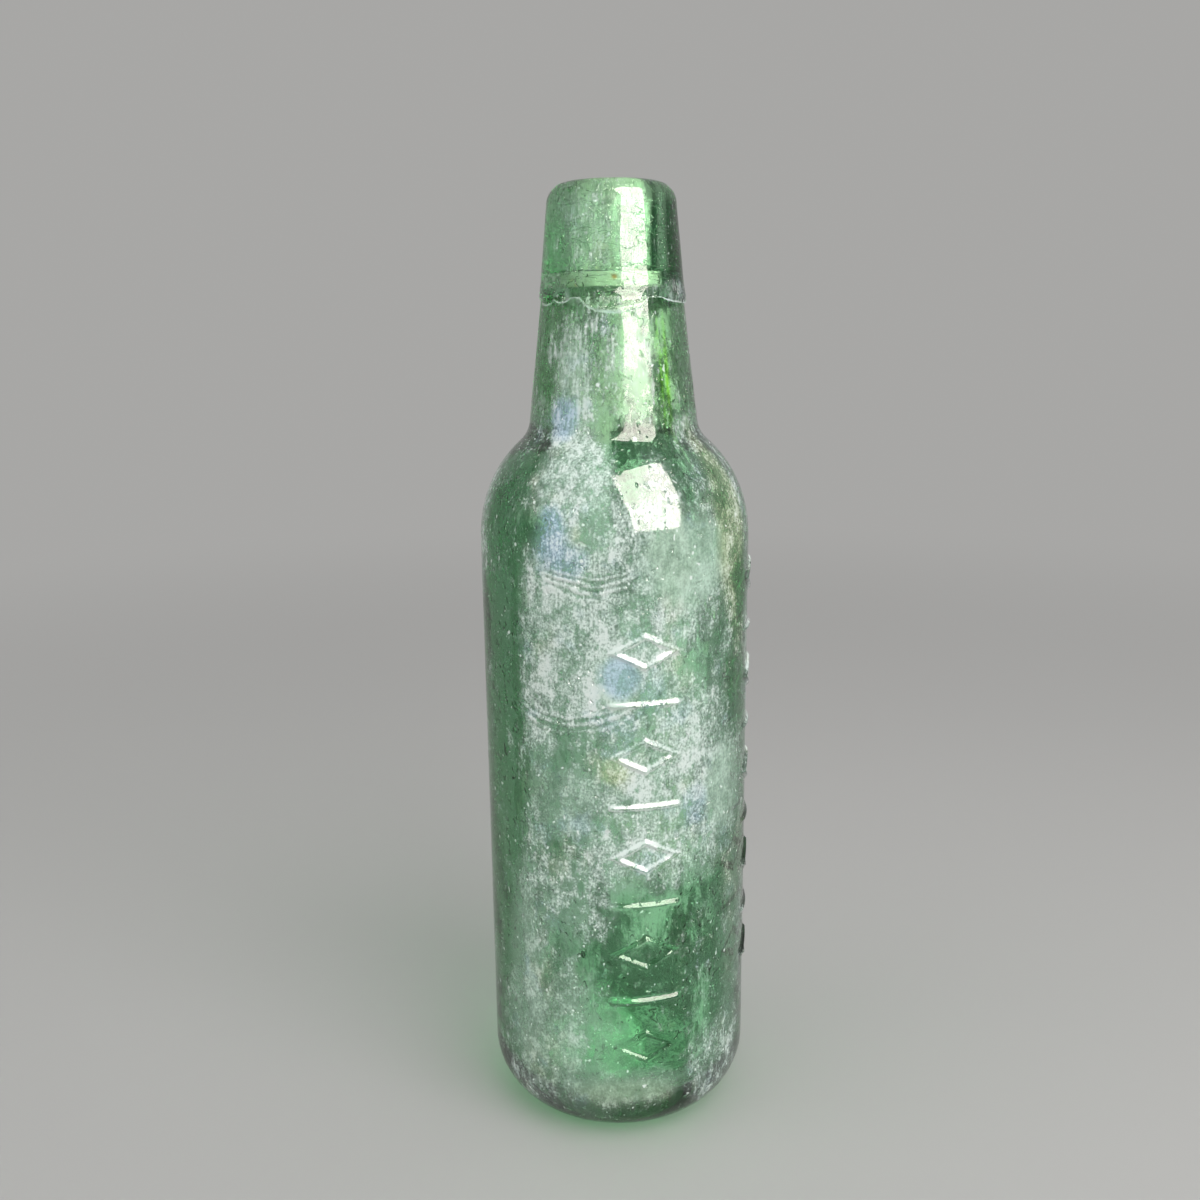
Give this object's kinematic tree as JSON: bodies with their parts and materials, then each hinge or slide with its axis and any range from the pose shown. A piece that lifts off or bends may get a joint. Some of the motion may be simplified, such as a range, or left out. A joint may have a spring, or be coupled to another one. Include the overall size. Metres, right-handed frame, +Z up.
{
  "type": "marble stopper bottle",
  "caption": "Old green glass soda bottle with a long tapered lip, a rubber ring in the neck and a loose glass marble that gas pressure seals against it.",
  "frame": {"origin": "on the bottle's axis, in the plane that the foot stands on", "axes": "+Z up the bottle's axis towards the mouth, -Y to the front, which the moulded column faces a little to the right of, +X to the right of the front"},
  "size_m": [0.0657, 0.0657, 0.2282],
  "materials": {
    "aqua_glass": "clear green glass with seeds, wear and white haze",
    "lip_glass": "clear green glass, tooled, with fine cracks and haze",
    "aged_rubber": "aged grey-green rubber with tan stains",
    "marble_glass": "plain green glass, polished"
  },
  "bodies": {
    "bottle": {"bottle_body": "aqua_glass", "applied_lip": "lip_glass", "seal_ring": "aged_rubber"},
    "marble": {"marble": "marble_glass"}
  },
  "joints": [
    {"name": "marble_rise", "type": "slide", "parent": "bottle", "child": "marble", "axis": [0.019, 0.0718, 0.9972], "range_m": [0, 0.18177]}
  ]
}
